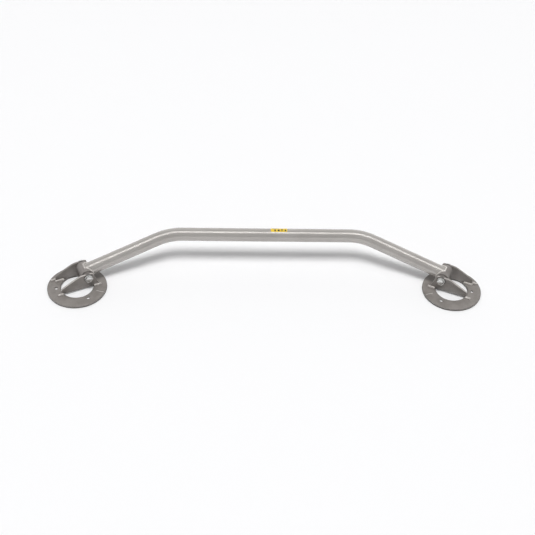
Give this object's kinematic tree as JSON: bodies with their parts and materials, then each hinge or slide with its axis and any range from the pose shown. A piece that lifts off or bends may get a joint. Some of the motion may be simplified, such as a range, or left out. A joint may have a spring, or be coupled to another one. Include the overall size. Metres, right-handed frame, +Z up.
{
  "type": "strut tower brace",
  "caption": "Bent tubular brace for a car's suspension strut towers: a raised steel tube hinged at each end on a clamping bolt to a ring plate with welded cheeks.",
  "frame": {"origin": "on the resting plane under the middle of the part's bounding box, half way between the two rings", "axes": "+X along the bar to the right-hand ring, +Y to the side the bar bows towards, +Z up from the strut towers"},
  "size_m": [1.105, 0.204, 0.1037],
  "materials": {
    "bar_paint": "satin silver-grey powder coat",
    "plate_paint": "darker grey satin paint over sawn and rolled steel plate",
    "weld_bead": "painted weld bead with fine ripples",
    "zinc_fastener": "bright zinc plate",
    "label_film": "yellow printed vinyl film with black bars"
  },
  "bodies": {
    "bar": {"bar_tube": "bar_paint", "label": "label_film", "left_pivot_sleeve": "plate_paint", "left_sleeve_weld": "plate_paint", "right_pivot_sleeve": "plate_paint", "right_sleeve_weld": "plate_paint"},
    "left_plate": {"left_ring_plate": "plate_paint", "left_front_cheek": "plate_paint", "left_rear_cheek": "plate_paint", "left_front_cheek_welds": "weld_bead", "left_rear_cheek_welds": "weld_bead", "left_pivot_bolt": "zinc_fastener", "left_bolt_washer": "zinc_fastener", "left_lock_nut": "zinc_fastener"},
    "right_plate": {"right_ring_plate": "plate_paint", "right_front_cheek": "plate_paint", "right_rear_cheek": "plate_paint", "right_front_cheek_welds": "weld_bead", "right_rear_cheek_welds": "weld_bead", "right_pivot_bolt": "zinc_fastener", "right_bolt_washer": "zinc_fastener", "right_lock_nut": "zinc_fastener"}
  },
  "joints": [
    {"name": "left_plate_swivel", "type": "hinge", "parent": "bar", "child": "left_plate", "pos_m": [-0.45881, -0.00107, 0.0347], "axis": [-0.4226, 0.9063, 0], "range_deg": [-26, 168]},
    {"name": "right_plate_swivel", "type": "hinge", "parent": "bar", "child": "right_plate", "pos_m": [0.45881, -0.00107, 0.0347], "axis": [-0.4226, -0.9063, 0], "range_deg": [-26, 168]}
  ]
}
